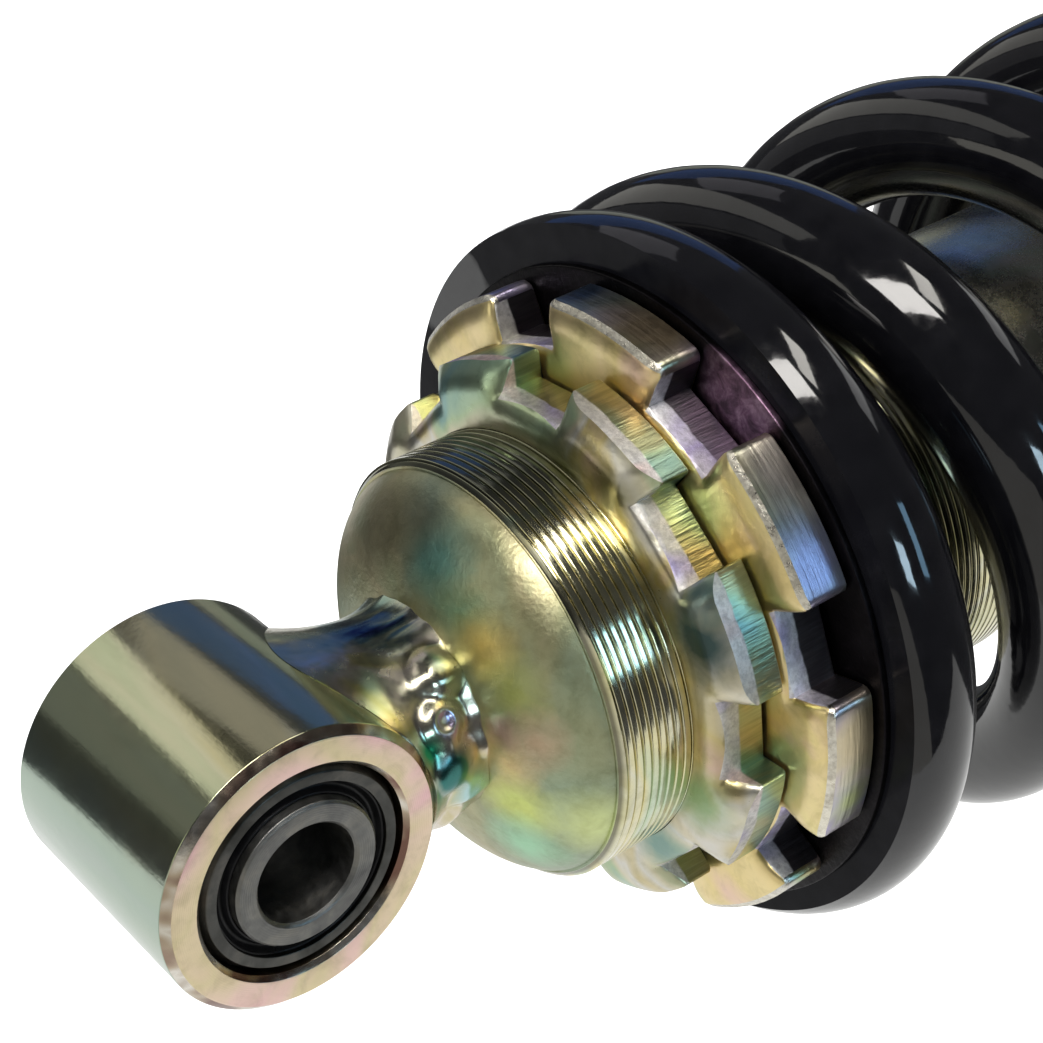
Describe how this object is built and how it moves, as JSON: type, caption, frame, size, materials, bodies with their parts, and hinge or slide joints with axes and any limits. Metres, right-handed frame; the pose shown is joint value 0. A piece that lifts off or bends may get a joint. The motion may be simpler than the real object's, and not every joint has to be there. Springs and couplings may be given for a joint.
{
  "type": "coilover",
  "caption": "Coil-over damper with a bushed eye at each end, a threaded body with castellated preload rings and a black coil spring around it.",
  "frame": {"origin": "centre of the upper eye bore, at full extension", "axes": "+Z along the damper axis towards the upper eye, so the damper hangs below the origin; +Y along both eye bores"},
  "size_m": [0.082, 0.082, 0.33],
  "materials": {
    "zinc_yellow": "yellow-passivated zinc plate on steel, iridescent gold and green, semi-gloss",
    "zinc_ring": "yellow-passivated zinc plate on forged steel, satin, torn texture in the slots",
    "zinc_purple": "zinc plate with a purple passivation, rough turned edge",
    "weld_bead": "plated weld metal, lumpy and shiny",
    "spring_black": "gloss black powder coat",
    "bush_steel": "bare turned steel, dull grey",
    "bush_rubber": "moulded natural rubber, matt black",
    "seal_rubber": "nitrile rubber, black",
    "bump_foam": "microcellular urethane foam, matt dark grey",
    "chromed_rod": "hard chrome, ground and polished",
    "alloy": "turned aluminium, satin",
    "sintered_iron": "sintered iron, matt",
    "bronze_band": "bronze-filled PTFE, satin"
  },
  "bodies": {
    "upper_sleeve": {"upper_bush_inner": "bush_steel"},
    "damper": {"upper_bush_rubber": "bush_rubber", "upper_bush_sleeve": "bush_steel", "upper_eye": "zinc_yellow", "upper_stub": "zinc_yellow", "upper_weld": "weld_bead", "damper_case": "zinc_yellow", "rod_guide": "alloy", "guide_bush": "bronze_band", "guide_oring": "seal_rubber", "oil_seal": "seal_rubber", "guide_circlip": "bush_steel", "dust_cap": "zinc_yellow", "rod_wiper": "seal_rubber"},
    "lock_ring": {"lock_ring": "zinc_ring"},
    "collar": {"spring_collar": "zinc_purple"},
    "adjuster": {"adjuster_ring": "zinc_ring"},
    "gas_piston": {"floating_piston": "alloy", "floating_piston_seal": "seal_rubber"},
    "rod": {"main_spring": "spring_black", "piston_nut": "bush_steel", "rebound_shims": "bush_steel", "piston": "sintered_iron", "piston_band": "bronze_band", "compression_shims": "bush_steel", "shim_washer": "bush_steel", "piston_rod": "chromed_rod", "rebound_bumper": "seal_rubber", "bump_stop": "bump_foam", "bump_washer": "bush_steel", "rod_locknut": "zinc_yellow", "lower_spring_seat": "zinc_yellow", "lower_mount": "zinc_yellow", "lower_weld": "weld_bead", "lower_eye": "zinc_yellow", "lower_bush_sleeve": "bush_steel", "lower_bush_rubber": "bush_rubber"},
    "lower_sleeve": {"lower_bush_inner": "bush_steel"}
  },
  "joints": [
    {"name": "upper_bush_twist", "type": "hinge", "parent": "upper_sleeve", "child": "damper", "pos_m": [0, 0, 0], "axis": [0, 1, 0], "range_deg": [-12, 12], "stiffness_Nm_per_rad": 42},
    {"name": "rod_slide", "type": "slide", "parent": "damper", "child": "rod", "axis": [0, 0, 1], "range_m": [0, 0.052], "stiffness_N_per_m": 187000, "springref_m": -0.005, "deforming": ["main_spring"]},
    {"name": "preload_slide", "type": "slide", "parent": "damper", "child": "collar", "axis": [0, 0, -1], "range_m": [0, 0.008]},
    {"name": "adjuster_turn", "type": "hinge", "parent": "collar", "child": "adjuster", "pos_m": [0, 0, -0.047], "axis": [0, 0, -1], "range_deg": [0, 2880]},
    {"name": "lock_ring_turn", "type": "hinge", "parent": "damper", "child": "lock_ring", "pos_m": [0, 0, -0.041], "axis": [0, 0, 1], "range_deg": [0, 90]},
    {"name": "gas_piston_slide", "type": "slide", "parent": "damper", "child": "gas_piston", "axis": [0, 0, 1], "range_m": [0, 0.0075]},
    {"name": "lower_bush_twist", "type": "hinge", "parent": "rod", "child": "lower_sleeve", "pos_m": [0, 0, -0.3], "axis": [0, 1, 0], "range_deg": [-12, 12], "stiffness_Nm_per_rad": 42}
  ],
  "couplings": [
    {"joint": "adjuster_turn", "follows": "preload_slide", "rad_per_m": 6283.2},
    {"joint": "gas_piston_slide", "follows": "rod_slide", "ratio": 0.13573}
  ]
}
